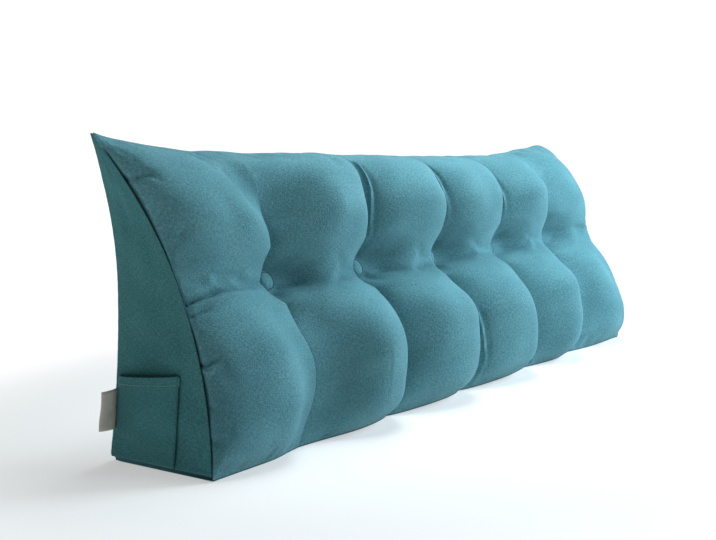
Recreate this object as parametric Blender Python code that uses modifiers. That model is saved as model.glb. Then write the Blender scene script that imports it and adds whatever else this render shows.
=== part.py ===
"""Wedge headboard pillow: a filled front of six tufted columns, cut panels, a side pocket,
five covered buttons and a woven label. Metres, +Z up, front towards -Y, standing on its base."""

import math

import bmesh
import bpy
from mathutils import Matrix, Vector

# Driving dimensions
BASE_HALF_LENGTH = 0.743
WAIST_HALF_LENGTH = 0.720
EAR_HALF_LENGTH = 0.769
WAIST_HEIGHT = 0.25
EAR_HEIGHT = 0.475
MIDDLE_HEIGHT = 0.442
FRONT_SEAM_DEPTH = -0.0944
TOP_SEAM_DEPTH = 0.095
SEAM_BOW = 0.0296
BACK_DEPTH = 0.100
BACK_CROWN = 0.008
SIDE_CROWN = 0.004
FAR_END_LEAN = 0.030

# Where the top edge starts to rise to each ear, and how sharply: left row, right row
EAR_COLUMNS = ("start", "power")
EARS = {"left": (0.45, 2.4), "right": (0.36, 1.7)}

# Tufted columns
COLUMNS = 6
COLUMN_PITCH = 0.25
END_COLUMN_SHARES = {"left": 0.62, "right": 0.76}
LOBE_ROUNDNESS = 2.3
LOBE_FULLNESS = 0.5
RELIEF_RISE_DEG = 22
RELIEF_RISE_START = 0.12

# How far the front stands proud of its side seams, from the bottom seam to the top seam
RELIEF_COLUMNS = ("height_share", "crest", "valley")
RELIEF = (
    (0.00, 0.000, -0.016),
    (0.10, 0.068, -0.016),
    (0.30, 0.088, -0.003),
    (0.57, 0.027, -0.008),
    (0.76, 0.102, 0.018),
    (0.90, 0.083, 0.050),
    (1.00, 0.000, 0.000),
)

# Buttons
BUTTON_COUNT = 5
BUTTON_SHARE = 0.575
BUTTON_RADIUS = 0.017
BUTTON_DOME = 0.0065
BUTTON_RIM = 0.003
BUTTON_BEVEL = 0.0007
BUTTON_GAP = 0.0008
BUTTON_SIDES = 16
BUTTON_DOME_STEPS = 4
SEAT_DEPTH = -0.022
SEAT_RADIUS = 0.022
SEAT_REACH = 0.055
FRONT_SLANT = 1.1

# Cloth
CLOTH = 0.002
GAP = 0.0003
SIDE_INSET = 0.0026
BACK_INSET = 0.0025
BACK_END_INSET = 0.0036
BASE_TOP = CLOTH + GAP

# Pocket on the left side panel
POCKET_FRONT = -0.026
POCKET_BACK = 0.0945
POCKET_HEIGHT_BACK = 0.125
POCKET_HEIGHT_FRONT = 0.137
POCKET_FOOT = 0.008
POCKET_GAPE = 0.015
POCKET_HEM = 0.012
POCKET_HEM_CLOTH = 0.003
POCKET_HEM_STEP = 0.01
POCKET_LINES = (0.0, 0.05, 0.12, 0.22, 0.36, 0.50, 0.64, 0.78, 0.88, 0.95, 1.0)
POCKET_SLACK = {"rise": 0.8, "across": 0.6}

# Label in the back left seam
LABEL_LOW = 0.048
LABEL_HIGH = 0.108
LABEL_REACH = 0.032
LABEL_DEPTH = 0.0975
LABEL_CURL = 0.003
LABEL_CLOTH = 0.0012

# Where grid lines fall: shares of a column's width, of the height and of the depth
COLUMN_LINES = (0.0, 0.04, 0.085, 0.16, 0.30, 0.50, 0.70, 0.84, 0.915, 0.96)
HEIGHT_LINES = (
    0.0, 0.03, 0.07, 0.13, 0.21, 0.30, 0.39, 0.46, 0.515, 0.545,
    0.575, 0.605, 0.635, 0.69, 0.76, 0.83, 0.89, 0.94, 0.975, 1.0,
)
DEPTH_CELLS = 4
BACK_CELLS_ALONG = 14
BACK_CELLS_UP = 10
BASE_CELLS_ALONG = 36

COLLECTION = "wedge_headboard_pillow"


def lerp(first, second, share):
    """The value a share of the way from the first to the second."""
    return first + (second - first) * share


def column_values(rows, names, wanted):
    """One named column of a table."""
    place = names.index(wanted)
    return [row[place] for row in rows]


def smooth_curve(places, values, at):
    """A smooth curve through a table's values that never overshoots them."""
    cell = 0
    while cell < len(places) - 2 and at > places[cell + 1]:
        cell += 1
    slopes = [
        (values[i + 1] - values[i]) / (places[i + 1] - places[i])
        for i in range(len(places) - 1)
    ]

    def tangent(point):
        before = slopes[max(point - 1, 0)]
        after = slopes[min(point, len(slopes) - 1)]
        if before * after <= 0:
            return 0.0
        return 2 * before * after / (before + after)

    width = places[cell + 1] - places[cell]
    share = min(max((at - places[cell]) / width, 0.0), 1.0)
    return (
        values[cell] * (1 + 2 * share) * (1 - share) ** 2
        + width * tangent(cell) * share * (1 - share) ** 2
        + values[cell + 1] * share**2 * (3 - 2 * share)
        + width * tangent(cell + 1) * share**2 * (share - 1)
    )


def half_length(height):
    """Half the pillow's length at a height: drawn in at the waist, widest at the ears."""
    if height < WAIST_HEIGHT:
        share = (WAIST_HEIGHT - height) / WAIST_HEIGHT
        return WAIST_HALF_LENGTH + (BASE_HALF_LENGTH - WAIST_HALF_LENGTH) * share**2
    share = (height - WAIST_HEIGHT) / (EAR_HEIGHT - WAIST_HEIGHT)
    return WAIST_HALF_LENGTH + (EAR_HALF_LENGTH - WAIST_HALF_LENGTH) * share**2


def top_height(x):
    """Height of the top seam, which dips between the two ears."""
    ear = EARS["left" if x < 0 else "right"]
    start = ear[EAR_COLUMNS.index("start")]
    power = ear[EAR_COLUMNS.index("power")]
    share = max(abs(x) - start, 0) / (EAR_HALF_LENGTH - start)
    return MIDDLE_HEIGHT + (EAR_HEIGHT - MIDDLE_HEIGHT) * share**power


def seam_depth(up):
    """Depth of the side seams: a straight slope that bows forward at half height."""
    return lerp(FRONT_SEAM_DEPTH, TOP_SEAM_DEPTH, up) - SEAM_BOW * 4 * up * (1 - up)


def lean(x, up):
    """How far the far end leans back."""
    return FAR_END_LEAN * max(x, 0) / WAIST_HALF_LENGTH * up**2


def column_x(along, half):
    """X of a place counted in columns from the left seam; the end columns take up the draw-in."""
    inner = COLUMN_PITCH * (COLUMNS / 2 - 1)
    if along < 1:
        return lerp(-half, -inner, along)
    if along > COLUMNS - 1:
        return lerp(inner, half, along - (COLUMNS - 1))
    return (along - COLUMNS / 2) * COLUMN_PITCH


def place_on_wedge(along, up, foot, inset):
    """X and Z of a place counted in columns along and as a share of the height."""
    x = column_x(along, BASE_HALF_LENGTH)
    for _ in range(4):
        height = lerp(foot, top_height(x), up)
        x = column_x(along, half_length(height) - inset)
    return x, height


def relief(along, up):
    """How far the front stands proud: round lobes between valleys, pinched at the buttons."""
    shares = column_values(RELIEF, RELIEF_COLUMNS, "height_share")
    crest = smooth_curve(shares, column_values(RELIEF, RELIEF_COLUMNS, "crest"), up)
    valley = smooth_curve(shares, column_values(RELIEF, RELIEF_COLUMNS, "valley"), up)
    share = along % 1.0
    lobe = (1 - abs(2 * share - 1) ** LOBE_ROUNDNESS) ** LOBE_FULLNESS
    floor = valley
    if along <= 1:
        crest *= END_COLUMN_SHARES["left"]
        floor = valley * along
    if along >= COLUMNS - 1:
        crest *= END_COLUMN_SHARES["right"]
        floor = valley * (COLUMNS - along)
    proud = lerp(floor, crest, lobe)
    nearest = min(max(round(along), 1), COLUMNS - 1)
    across = (along - nearest) * COLUMN_PITCH
    above = (up - BUTTON_SHARE) * MIDDLE_HEIGHT * FRONT_SLANT
    away = (math.hypot(across, above) - SEAT_RADIUS) / (SEAT_REACH - SEAT_RADIUS)
    away = min(max(away, 0.0), 1.0)
    return lerp(SEAT_DEPTH, proud, away * away * (3 - 2 * away))


def front_point(along, up):
    """A point of the front's soft face."""
    x, height = place_on_wedge(along, up, BASE_TOP, SIDE_INSET)
    proud = relief(along, up)
    tilt = math.radians(RELIEF_RISE_DEG) * min(up / RELIEF_RISE_START, 1)
    y = seam_depth(up) + lean(x, up) - proud * math.cos(tilt)
    return Vector((x, y, height + proud * math.sin(tilt)))


def back_depth(x, height, up):
    """Depth of the back panel's outer face, which crowns a little."""
    end = 1 - (x / half_length(height)) ** 2
    return BACK_DEPTH + lean(x, up) + BACK_CROWN * 4 * up * (1 - up) * max(end, 0)


def back_point(along, up, inset, foot, end_inset=SIDE_INSET):
    """A point of the back panel's outer face, or as far inside it as the inset."""
    x, height = place_on_wedge(along, up, foot, end_inset)
    return Vector((x, back_depth(x, height, up) - inset, height))


def base_point(along, deep, height):
    """A point of the flat base, between the front seam and the back."""
    x, _ = place_on_wedge(along, 0, height, SIDE_INSET)
    front = front_point(along, 0).y
    return Vector((x, lerp(front, BACK_DEPTH - BACK_INSET, deep), height))


def top_point(along, deep):
    """A point of the narrow ridge where the front meets the back."""
    return front_point(along, 1).lerp(back_point(along, 1, BACK_INSET, BASE_TOP), deep)


def side_point(side, deep, up, inset, foot):
    """A point of a side panel's outer face, or as far inside it as the inset."""
    x, height = place_on_wedge(COLUMNS if side > 0 else 0, up, foot, inset)
    front = seam_depth(up) + lean(x, up)
    back = back_depth(x, height, up) - min(inset, BACK_INSET)
    crown = SIDE_CROWN * 16 * deep * (1 - deep) * up * (1 - up)
    return Vector((x + side * crown, lerp(front, back, deep), height))


def lines_along():
    """Grid lines along the length, counted in columns."""
    return [column + share for column in range(COLUMNS) for share in COLUMN_LINES] + [COLUMNS]


def even_lines(cells, last=1.0):
    """Evenly spaced grid lines from 0 to the last."""
    return [last * line / cells for line in range(cells + 1)]


def add_patch(bm, first_lines, second_lines, place):
    """A grid whose lines lie at the given values, each point moved to place(first, second)."""
    cells = (len(first_lines) - 1, len(second_lines) - 1)
    made = bmesh.ops.create_grid(bm, x_segments=cells[0], y_segments=cells[1], size=0.5)
    for vert in made["verts"]:
        first = first_lines[round((vert.co.x + 0.5) * cells[0])]
        second = second_lines[round((vert.co.y + 0.5) * cells[1])]
        vert.co = place(first, second)


def turn_outward(bm, outward):
    """Makes an open grid's faces point one way."""
    bmesh.ops.recalc_face_normals(bm, faces=bm.faces)
    middle = sum((face.normal for face in bm.faces), Vector())
    if middle.dot(outward) < 0:
        bmesh.ops.reverse_faces(bm, faces=bm.faces)


def make_object(name, bm, material, collection):
    """An object of this mesh, with its material, in the pillow's collection."""
    mesh = bpy.data.meshes.new(name)
    bm.to_mesh(mesh)
    bm.free()
    mesh.materials.append(material)
    made = bpy.data.objects.new(name, mesh)
    collection.objects.link(made)
    return made


def make_material(name, colour, roughness):
    """A cloth finish of one colour."""
    material = bpy.data.materials.new(name)
    material.use_nodes = True
    shader = material.node_tree.nodes["Principled BSDF"]
    shader.inputs["Base Color"].default_value = (*colour, 1)
    shader.inputs["Roughness"].default_value = roughness
    shader.inputs["Metallic"].default_value = 0
    material.diffuse_color = (*colour, 1)
    return material


def make_filled_front(material, collection):
    """The front panel with its filling: one closed solid of six faces that share their edges."""
    bm = bmesh.new()
    along = lines_along()
    up = list(HEIGHT_LINES)
    deep = even_lines(DEPTH_CELLS)
    add_patch(bm, along, up, front_point)
    add_patch(bm, along, up, lambda a, u: back_point(a, u, BACK_INSET, BASE_TOP))
    add_patch(bm, along, deep, top_point)
    add_patch(bm, along, deep, lambda a, d: base_point(a, d, BASE_TOP))
    for side in (-1, 1):
        add_patch(bm, deep, up, lambda d, u: side_point(side, d, u, SIDE_INSET, BASE_TOP))
    bmesh.ops.remove_doubles(bm, verts=bm.verts, dist=0.0001)
    bmesh.ops.recalc_face_normals(bm, faces=bm.faces)
    body = make_object("filled_front", bm, material, collection)
    body.data.shade_smooth()
    body.data.set_sharp_from_angle(angle=math.radians(50))
    return body


def make_sheet(name, first_lines, second_lines, place, outward, material, collection):
    """A cut piece of cloth: a grid on its outer face, thickened inwards."""
    bm = bmesh.new()
    add_patch(bm, first_lines, second_lines, place)
    turn_outward(bm, outward)
    sheet = make_object(name, bm, material, collection)
    thicken = sheet.modifiers.new("cloth", "SOLIDIFY")
    thicken.thickness = CLOTH
    thicken.offset = -1
    thicken.use_even_offset = True
    return sheet


def make_back_panel(material, collection):
    """The plain back, from one gusset to the other."""
    return make_sheet(
        "back_panel",
        even_lines(BACK_CELLS_ALONG, COLUMNS),
        even_lines(BACK_CELLS_UP),
        lambda a, u: back_point(a, u, 0, BASE_TOP, BACK_END_INSET),
        Vector((0, 1, 0)),
        material,
        collection,
    )


def make_base_panel(material, collection):
    """The flat panel that the pillow stands on."""
    return make_sheet(
        "base_panel",
        even_lines(BASE_CELLS_ALONG, COLUMNS),
        [0, 1],
        lambda a, d: base_point(a, d, 0),
        Vector((0, 0, -1)),
        material,
        collection,
    )


def make_side_panel(name, side, material, collection):
    """The gusset at one end; side is -1 for the left and 1 for the right."""
    return make_sheet(
        name,
        even_lines(DEPTH_CELLS),
        list(HEIGHT_LINES),
        lambda d, u: side_point(side, d, u, 0, GAP),
        Vector((side, 0, 0)),
        material,
        collection,
    )


def wall_x(y, height):
    """X of the left side panel's outer face at a depth and a height."""
    up = (height - GAP) / (top_height(-EAR_HALF_LENGTH) - GAP)
    deep = (y - seam_depth(up)) / (BACK_DEPTH - seam_depth(up))
    return side_point(-1, min(max(deep, 0), 1), up, 0, GAP).x


def pocket_point(back_share, rise):
    """A point of the pocket's inner face: sewn down at three edges, gaping at the mouth."""
    y = lerp(POCKET_FRONT, POCKET_BACK, back_share)
    mouth = lerp(POCKET_HEIGHT_FRONT, POCKET_HEIGHT_BACK, back_share)
    height = lerp(POCKET_FOOT, mouth, rise)
    across = max(math.sin(math.pi * back_share), 0) ** POCKET_SLACK["across"]
    gape = POCKET_GAPE * rise ** POCKET_SLACK["rise"] * across
    return Vector((wall_x(y, height) - 2 * GAP - gape, y, height))


def make_pocket(material, collection):
    """A patch pocket whose turned hem is thicker than its single cloth."""
    bm = bmesh.new()
    mean_height = (POCKET_HEIGHT_BACK + POCKET_HEIGHT_FRONT) / 2 - POCKET_FOOT
    hem_start = 1 - POCKET_HEM / mean_height
    rises = [*even_lines(6, hem_start - POCKET_HEM_STEP), hem_start, 1.0]
    add_patch(bm, POCKET_LINES, rises, pocket_point)
    turn_outward(bm, Vector((-1, 0, 0)))
    pocket = make_object("pocket", bm, material, collection)
    weights = pocket.vertex_groups.new(name="cloth")
    for vert in pocket.data.vertices:
        back_share = (vert.co.y - POCKET_FRONT) / (POCKET_BACK - POCKET_FRONT)
        mouth = lerp(POCKET_HEIGHT_FRONT, POCKET_HEIGHT_BACK, back_share)
        rise = (vert.co.z - POCKET_FOOT) / (mouth - POCKET_FOOT)
        in_hem = rise > hem_start - POCKET_HEM_STEP / 2
        weights.add([vert.index], 1.0 if in_hem else CLOTH / POCKET_HEM_CLOTH, "REPLACE")
    thicken = pocket.modifiers.new("cloth", "SOLIDIFY")
    thicken.thickness = POCKET_HEM_CLOTH
    thicken.offset = 1
    thicken.vertex_group = "cloth"
    return pocket


def make_label(material, collection):
    """A short woven tape that stands out of the back left seam, with a slight curl."""
    bm = bmesh.new()

    def place(out, rise):
        height = lerp(LABEL_LOW, LABEL_HIGH, rise)
        x = wall_x(LABEL_DEPTH, height) - GAP - LABEL_REACH * out
        return Vector((x, LABEL_DEPTH - LABEL_CURL * math.sin(math.pi * out), height))

    add_patch(bm, even_lines(5), even_lines(2), place)
    turn_outward(bm, Vector((0, -1, 0)))
    label = make_object("label", bm, material, collection)
    thicken = label.modifiers.new("cloth", "SOLIDIFY")
    thicken.thickness = LABEL_CLOTH
    thicken.offset = 0
    return label


def button_profile():
    """The covered button's outline at +X, from the top of its dome to its flat back."""
    points = []
    for step in range(BUTTON_DOME_STEPS + 1):
        turn = math.radians(90 * step / BUTTON_DOME_STEPS)
        points.append((BUTTON_RADIUS * math.sin(turn), BUTTON_RIM + BUTTON_DOME * math.cos(turn)))
    points.append((BUTTON_RADIUS - BUTTON_BEVEL, 0.0))
    points.append((0.0, 0.0))
    return points


def make_button(number, material, collection):
    """A domed button turned from its profile, seated square on the tuft."""
    profile = button_profile()
    mesh = bpy.data.meshes.new("button_profile")
    edges = [(point, point + 1) for point in range(len(profile) - 1)]
    mesh.from_pydata([(x, 0, z) for x, z in profile], edges, [])
    mesh.materials.append(material)
    button = bpy.data.objects.new(f"button_{number}", mesh)
    collection.objects.link(button)
    turn = button.modifiers.new("turned", "SCREW")
    turn.angle = math.tau
    turn.steps = BUTTON_SIDES
    turn.render_steps = BUTTON_SIDES
    turn.use_merge_vertices = True
    turn.merge_threshold = 0.0001
    seat = front_point(number, BUTTON_SHARE)
    step = SEAT_RADIUS / 2 / MIDDLE_HEIGHT
    rise = front_point(number, BUTTON_SHARE + step) - front_point(number, BUTTON_SHARE - step)
    normal = rise.cross(Vector((-1, 0, 0))).normalized()
    if normal.y > 0:
        normal.negate()
    facing = normal.to_track_quat("Z", "X").to_matrix().to_4x4()
    button.matrix_world = Matrix.Translation(seat + normal * BUTTON_GAP) @ facing
    return button


def main():
    for old in list(bpy.data.objects):
        bpy.data.objects.remove(old)
    collection = bpy.data.collections.new(COLLECTION)
    bpy.context.scene.collection.children.link(collection)
    front_cloth = make_material("teal_chenille", (0.080, 0.235, 0.265), 0.9)
    panel_cloth = make_material("teal_chenille_side", (0.055, 0.170, 0.185), 0.9)
    label_cloth = make_material("woven_label", (0.520, 0.480, 0.430), 0.8)
    make_filled_front(front_cloth, collection)
    make_back_panel(panel_cloth, collection)
    make_base_panel(panel_cloth, collection)
    make_side_panel("side_panel_left", -1, panel_cloth, collection)
    make_side_panel("side_panel_right", 1, panel_cloth, collection)
    make_pocket(panel_cloth, collection)
    for number in range(1, BUTTON_COUNT + 1):
        make_button(number, front_cloth, collection)
    make_label(label_cloth, collection)


main()
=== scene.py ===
# %% [markdown]
# # Dressing a wedge headboard pillow
#
# The real object is a long wedge cushion for the head of a bed. Its front is one cloth over a
# soft filling, drawn in by five covered buttons, so that six round columns stand between the
# valleys. The ends, back and base are flat cut pieces, there is an open pocket on the left end,
# and a woven tape is caught in the back seam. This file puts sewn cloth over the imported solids,
# which stay where they are as a fixed frame.

import math

import bpy
import numpy as np
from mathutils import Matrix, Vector


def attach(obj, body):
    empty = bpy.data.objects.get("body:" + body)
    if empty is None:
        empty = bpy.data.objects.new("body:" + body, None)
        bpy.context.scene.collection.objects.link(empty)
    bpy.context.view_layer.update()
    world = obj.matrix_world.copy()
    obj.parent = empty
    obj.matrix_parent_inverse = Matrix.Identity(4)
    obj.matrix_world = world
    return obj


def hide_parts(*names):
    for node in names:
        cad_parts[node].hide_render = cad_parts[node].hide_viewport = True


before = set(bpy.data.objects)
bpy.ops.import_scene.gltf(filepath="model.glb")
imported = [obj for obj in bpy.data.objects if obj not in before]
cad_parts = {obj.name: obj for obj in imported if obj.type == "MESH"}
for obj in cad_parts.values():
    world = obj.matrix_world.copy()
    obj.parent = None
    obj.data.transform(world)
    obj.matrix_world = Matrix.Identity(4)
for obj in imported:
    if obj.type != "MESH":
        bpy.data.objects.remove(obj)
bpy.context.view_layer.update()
print("solids:", sorted(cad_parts))

# %% [markdown]
# ## The cutting sizes
#
# Every cloth has to sit on the solid that carries it, so the pillow's own measures come first.
# They could be read off the solids, but a named measure says what it is on the real thing. The
# relief tables say how far the front stands proud of its side seams, on a crest and in a valley,
# at seven heights. Lengths are in metres, and a share of the height runs from 0 to 1.

# %% Sizes of the wedge
BASE_HALF_LENGTH = 0.743
WAIST_HALF_LENGTH = 0.720
EAR_HALF_LENGTH = 0.769
WAIST_HEIGHT = 0.25
EAR_HEIGHT = 0.475
MIDDLE_HEIGHT = 0.442
FRONT_SEAM_DEPTH = -0.0944
TOP_SEAM_DEPTH = 0.095
SEAM_BOW = 0.0296
BACK_DEPTH = 0.100
BACK_CROWN = 0.008
SIDE_CROWN = 0.004
FAR_END_LEAN = 0.030
EAR_START = {"left": 0.45, "right": 0.36}
EAR_POWER = {"left": 2.4, "right": 1.7}
COLUMNS = 6
COLUMN_PITCH = 0.25
END_COLUMN_SHARES = (0.62, 0.76)
LOBE_ROUNDNESS = 2.3
LOBE_FULLNESS = 0.5
RELIEF_RISE = math.radians(22)
RELIEF_RISE_START = 0.12
RELIEF_SHARES = np.array([0.00, 0.10, 0.30, 0.57, 0.76, 0.90, 1.00])
RELIEF_CREST = np.array([0.000, 0.068, 0.088, 0.027, 0.102, 0.083, 0.000])
RELIEF_VALLEY = np.array([-0.016, -0.016, -0.003, -0.008, 0.018, 0.050, 0.000])
BUTTON_COUNT = 5
BUTTON_SHARE = 0.575
BUTTON_RADIUS = 0.017
BUTTON_GAP = 0.0008
SEAT_DEPTH = -0.0245
SEAT_RADIUS = 0.020
SEAT_REACH = {"round": 0.048, "right": 0.130}
FRONT_SLANT = 1.1
TOP_FULLNESS = 0.0065
BACK_LEFT_FULLNESS = 0.0035
RIGHT_EAR_PEAK = 0.715
RIGHT_EAR_DROP = 0.018
CLOTH = 0.002
GAP = 0.0003
SIDE_INSET = 0.0026
BACK_INSET = 0.0025
BASE_TOP = CLOTH + GAP


# %% [markdown]
# ## The wedge as functions of two parameters
#
# A cushion front is a curved sheet, so it suits a grid: one parameter counts the columns along
# the pillow, from 0 at the left seam to 6 at the right one, and the other is the share of the
# height. Sculpting would do as well, but a function can be read, changed and made again.

# %% Blends, bumps and curves
def lerp(first, second, share):
    """The value a share of the way from the first to the second."""
    return first + (second - first) * share


def soft_step(share):
    """0 below 0 and 1 above 1, with an even S between them: 3 s squared less 2 s cubed."""
    share = np.clip(share, 0.0, 1.0)
    return share * share * (3 - 2 * share)


def hill(distance, reach):
    """A soft round bump: e to the power of minus the squared distance over the squared reach."""
    return np.exp(-((distance / reach) ** 2))


def smooth_curve(places, values, at):
    """A cubic through a table's values whose slopes are harmonic means, so it never overshoots."""
    slopes = np.diff(values) / np.diff(places)
    before = np.append(slopes[0], slopes)
    after = np.append(slopes, slopes[-1])
    same_way = before * after > 0
    total = np.where(same_way, before + after, 1)
    tangents = np.where(same_way, 2 * before * after / total, 0)
    cell = np.clip(np.searchsorted(places, at) - 1, 0, len(slopes) - 1)
    width = places[cell + 1] - places[cell]
    share = np.clip((at - places[cell]) / width, 0, 1)
    rest = 1 - share
    return (
        values[cell] * (1 + 2 * share) * rest**2
        + width * tangents[cell] * share * rest**2
        + values[cell + 1] * share**2 * (3 - 2 * share)
        - width * tangents[cell + 1] * share**2 * rest
    )


# %% The wedge's outline
def half_length(height):
    """Half the length: the waist's, plus a square law out to the base and up to the ears."""
    low = ((WAIST_HEIGHT - height) / WAIST_HEIGHT) ** 2
    high = ((height - WAIST_HEIGHT) / (EAR_HEIGHT - WAIST_HEIGHT)) ** 2
    below = WAIST_HALF_LENGTH + (BASE_HALF_LENGTH - WAIST_HALF_LENGTH) * low
    above = WAIST_HALF_LENGTH + (EAR_HALF_LENGTH - WAIST_HALF_LENGTH) * high
    return np.where(height < WAIST_HEIGHT, below, above)


def top_height(x):
    """Height of the top seam: level in the middle, then a power law up to each ear."""
    start = np.where(x < 0, EAR_START["left"], EAR_START["right"])
    power = np.where(x < 0, EAR_POWER["left"], EAR_POWER["right"])
    share = np.clip(np.abs(x) - start, 0, None) / (EAR_HALF_LENGTH - start)
    return MIDDLE_HEIGHT + (EAR_HEIGHT - MIDDLE_HEIGHT) * share**power


def seam_depth(up):
    """Depth of the side seams: a straight slope less a parabola that bows them forward."""
    return lerp(FRONT_SEAM_DEPTH, TOP_SEAM_DEPTH, up) - SEAM_BOW * 4 * up * (1 - up)


def lean(x, up):
    """How far the far end leans back: in step with X and with the square of the height."""
    return FAR_END_LEAN * np.maximum(x, 0) / WAIST_HALF_LENGTH * up**2


def column_x(along, half):
    """X of a place counted in columns: even inside, and the end columns take up the draw-in."""
    inner = COLUMN_PITCH * (COLUMNS / 2 - 1)
    x = (along - COLUMNS / 2) * COLUMN_PITCH
    x = np.where(along < 1, lerp(-half, -inner, along), x)
    return np.where(along > COLUMNS - 1, lerp(inner, half, along - (COLUMNS - 1)), x)


def place_on_wedge(along, up, foot, inset):
    """X and Z of a place: the height fixes the half length, which fixes X, four times over."""
    x = column_x(along, BASE_HALF_LENGTH)
    for _ in range(4):
        height = lerp(foot, top_height(x), up)
        x = column_x(along, half_length(height) - inset)
    return x, height


print("half length at the base, waist and ears:", half_length(np.array([0, 0.25, 0.475])))


# %% [markdown]
# ## From numbers to a mesh
#
# A grid of points becomes a mesh of four-cornered faces, which Blender shades evenly. Each cloth
# also gets a map in real metres, measured along its own surface, so that the weave keeps its size
# where the cloth swells, and a number that says how close a point is to a seam, where the cloth is
# darkened as painted shade.

# %% Lengths, faces and maps of a grid
def arc_lengths(grid, axis):
    """Metres along the surface from its first line, as the mean over all lines the other way."""
    steps = np.linalg.norm(np.diff(grid, axis=axis), axis=2).mean(axis=1 - axis)
    return np.append(0.0, np.cumsum(steps))


def grid_faces(rows, columns, close_rows=False, close_columns=False):
    """Corner numbers of each face between neighbouring rows and columns, once round if closed."""
    row = np.arange(rows if close_rows else rows - 1)[:, None]
    column = np.arange(columns if close_columns else columns - 1)[None, :]
    next_row = (row + 1) % rows
    next_column = (column + 1) % columns
    corners = (
        row * columns + column,
        row * columns + next_column,
        next_row * columns + next_column,
        next_row * columns + column,
    )
    return np.stack(np.broadcast_arrays(*corners), axis=-1).reshape(-1, 4)


# %% Making the mesh
def build_mesh(name, points, faces, corner_map, seam, material):
    """A mesh object from whole arrays: points, faces, a metre map for corners, seam numbers."""
    mesh = bpy.data.meshes.new(name)
    mesh.from_pydata(points.reshape(-1, 3), [], [list(face) for face in faces])
    layer = mesh.uv_layers.new(name="cloth_metres")
    layer.data.foreach_set("uv", corner_map.astype(np.float32).ravel())
    near_seam = mesh.attributes.new("seam", "FLOAT", "POINT")
    near_seam.data.foreach_set("value", seam.astype(np.float32).ravel())
    mesh.materials.append(material)
    mesh.validate()
    mesh.shade_smooth()
    made = bpy.data.objects.new(name, mesh)
    bpy.context.scene.collection.objects.link(made)
    print(f"{name}: {len(mesh.vertices)} points, {len(mesh.polygons)} faces")
    return made


def metre_map(u, v):
    """Each face corner's place on the map: its column's metres along and its row's metres up."""
    row = np.arange(len(v) - 1)[:, None] + np.zeros(len(u) - 1, int)
    column = np.arange(len(u) - 1)[None, :] + np.zeros((len(v) - 1, 1), int)
    corner_rows = np.stack([row, row, row + 1, row + 1], axis=-1).reshape(-1)
    corner_columns = np.stack([column, column + 1, column + 1, column], axis=-1).reshape(-1)
    return np.stack([u[corner_columns], v[corner_rows]], axis=-1)


def make_sheet(name, grid, material, seam):
    """A surface from rows of points, mapped by its own mean lengths along rows and columns."""
    corner_map = metre_map(arc_lengths(grid, 1), arc_lengths(grid, 0))
    return build_mesh(name, grid, grid_faces(*grid.shape[:2]), corner_map, seam, material)


def outward_normals(grid):
    """Unit normals of a grid: the way along the rows crossed with the way up the columns."""
    across = np.gradient(grid, axis=1)
    upward = np.gradient(grid, axis=0)
    normals = np.cross(across, upward)
    return normals / np.maximum(np.linalg.norm(normals, axis=2, keepdims=True), 1e-12)


# %% [markdown]
# ## The cloth
#
# The cover is a heathered chenille: a plain weave of thick brushed yarns in several near shades,
# whose pile catches light at a grazing angle. A picture of cloth could be wrapped round it, but
# noise drawn out along the warp and the weft gives the same uneven yarn from any side and at any
# size. A yarn is about 1.2 mm thick, too fine for this picture, so the flecks are drawn about a
# third coarser.

# %% Colour and node helpers
def linear(hex_colour):
    """An sRGB hex colour as the linear red, green, blue and alpha that shaders use."""
    srgb = np.array([int(hex_colour[i : i + 2], 16) for i in (1, 3, 5)]) / 255
    value = np.where(srgb <= 0.04045, srgb / 12.92, ((srgb + 0.055) / 1.055) ** 2.4)
    return (*value, 1.0)


def add_node(tree, kind, sockets=None, **settings):
    """One node: settings are its own properties, sockets its inputs' values or their sources."""
    node = tree.nodes.new(kind)
    for name, value in settings.items():
        setattr(node, name, value)
    for name, value in (sockets or {}).items():
        if isinstance(value, bpy.types.NodeSocket):
            tree.links.new(value, node.inputs[name])
        else:
            node.inputs[name].default_value = value
    return node


def new_material(name):
    """An empty node material."""
    material = bpy.data.materials.new(name)
    material.use_nodes = True
    material.node_tree.nodes.clear()
    return material


# %% Heathered chenille
YARN = 0.0012
DRAWN_YARN = 1.35 * YARN
SLUB = 0.0055
CLOUD = (0.11, 0.07)
CLOUD_SHARE = 0.55
PILE_ROUGHNESS = 0.92
PILE_SHEEN_TINT = "#bfe3ea"


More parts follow.
